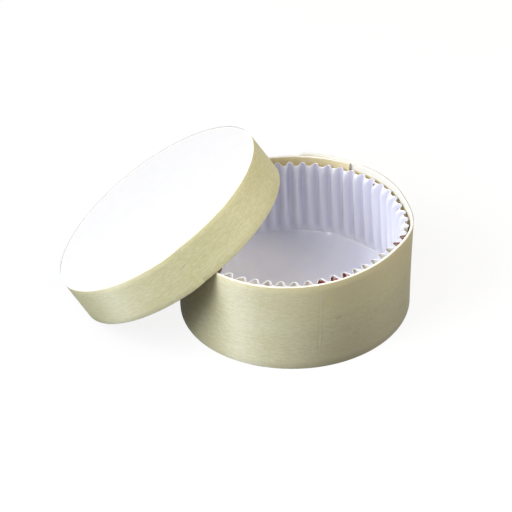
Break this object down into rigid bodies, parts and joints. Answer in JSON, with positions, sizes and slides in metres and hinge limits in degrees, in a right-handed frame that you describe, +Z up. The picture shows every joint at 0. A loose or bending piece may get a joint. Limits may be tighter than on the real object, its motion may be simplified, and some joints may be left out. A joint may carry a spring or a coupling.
{
  "type": "cheese box",
  "caption": "Round box of wound veneer for a soft cheese: open base with a fluted paper cup inside, and a shallow lid, taken off, that leans on the base's rim.",
  "frame": {"origin": "middle of the base's flat underside, on the table, on the axis of the round base", "axes": "+Z up along the base's axis; the lid leans on the base's rim towards -X; +Y is the far side in the picture, seen from a little to the right of -Y"},
  "size_m": [0.1669, 0.1135, 0.08],
  "materials": {
    "base_veneer": "raw poplar veneer, matt, grain round the band",
    "base_board": "raw poplar board, matt, straight grain",
    "cup_paper": "glossy coated paper, white inside, small print outside",
    "lid_veneer": "raw poplar veneer, matt, grain round the band",
    "lid_wood": "raw poplar board, matt, straight grain",
    "label_paper": "plain white paper, smooth"
  },
  "bodies": {
    "base": {"base_band": "base_veneer", "base_floor": "base_board"},
    "cup": {"paper_cup": "cup_paper"},
    "lid": {"lid_band": "lid_veneer", "lid_board": "lid_wood", "lid_label": "label_paper"}
  },
  "joints": [
    {"name": "lid_tip", "type": "hinge", "parent": "base", "child": "lid", "pos_m": [-0.10003, 0, 0], "axis": [0, -1, 0], "range_deg": [0, 56.5]},
    {"name": "cup_lift", "type": "slide", "parent": "base", "child": "cup", "axis": [0, 0, 1], "range_m": [0, 0.05]}
  ],
  "couplings": [
    {"joint": "cup_lift", "follows": "lid_tip", "m_per_rad": 0.0507}
  ]
}
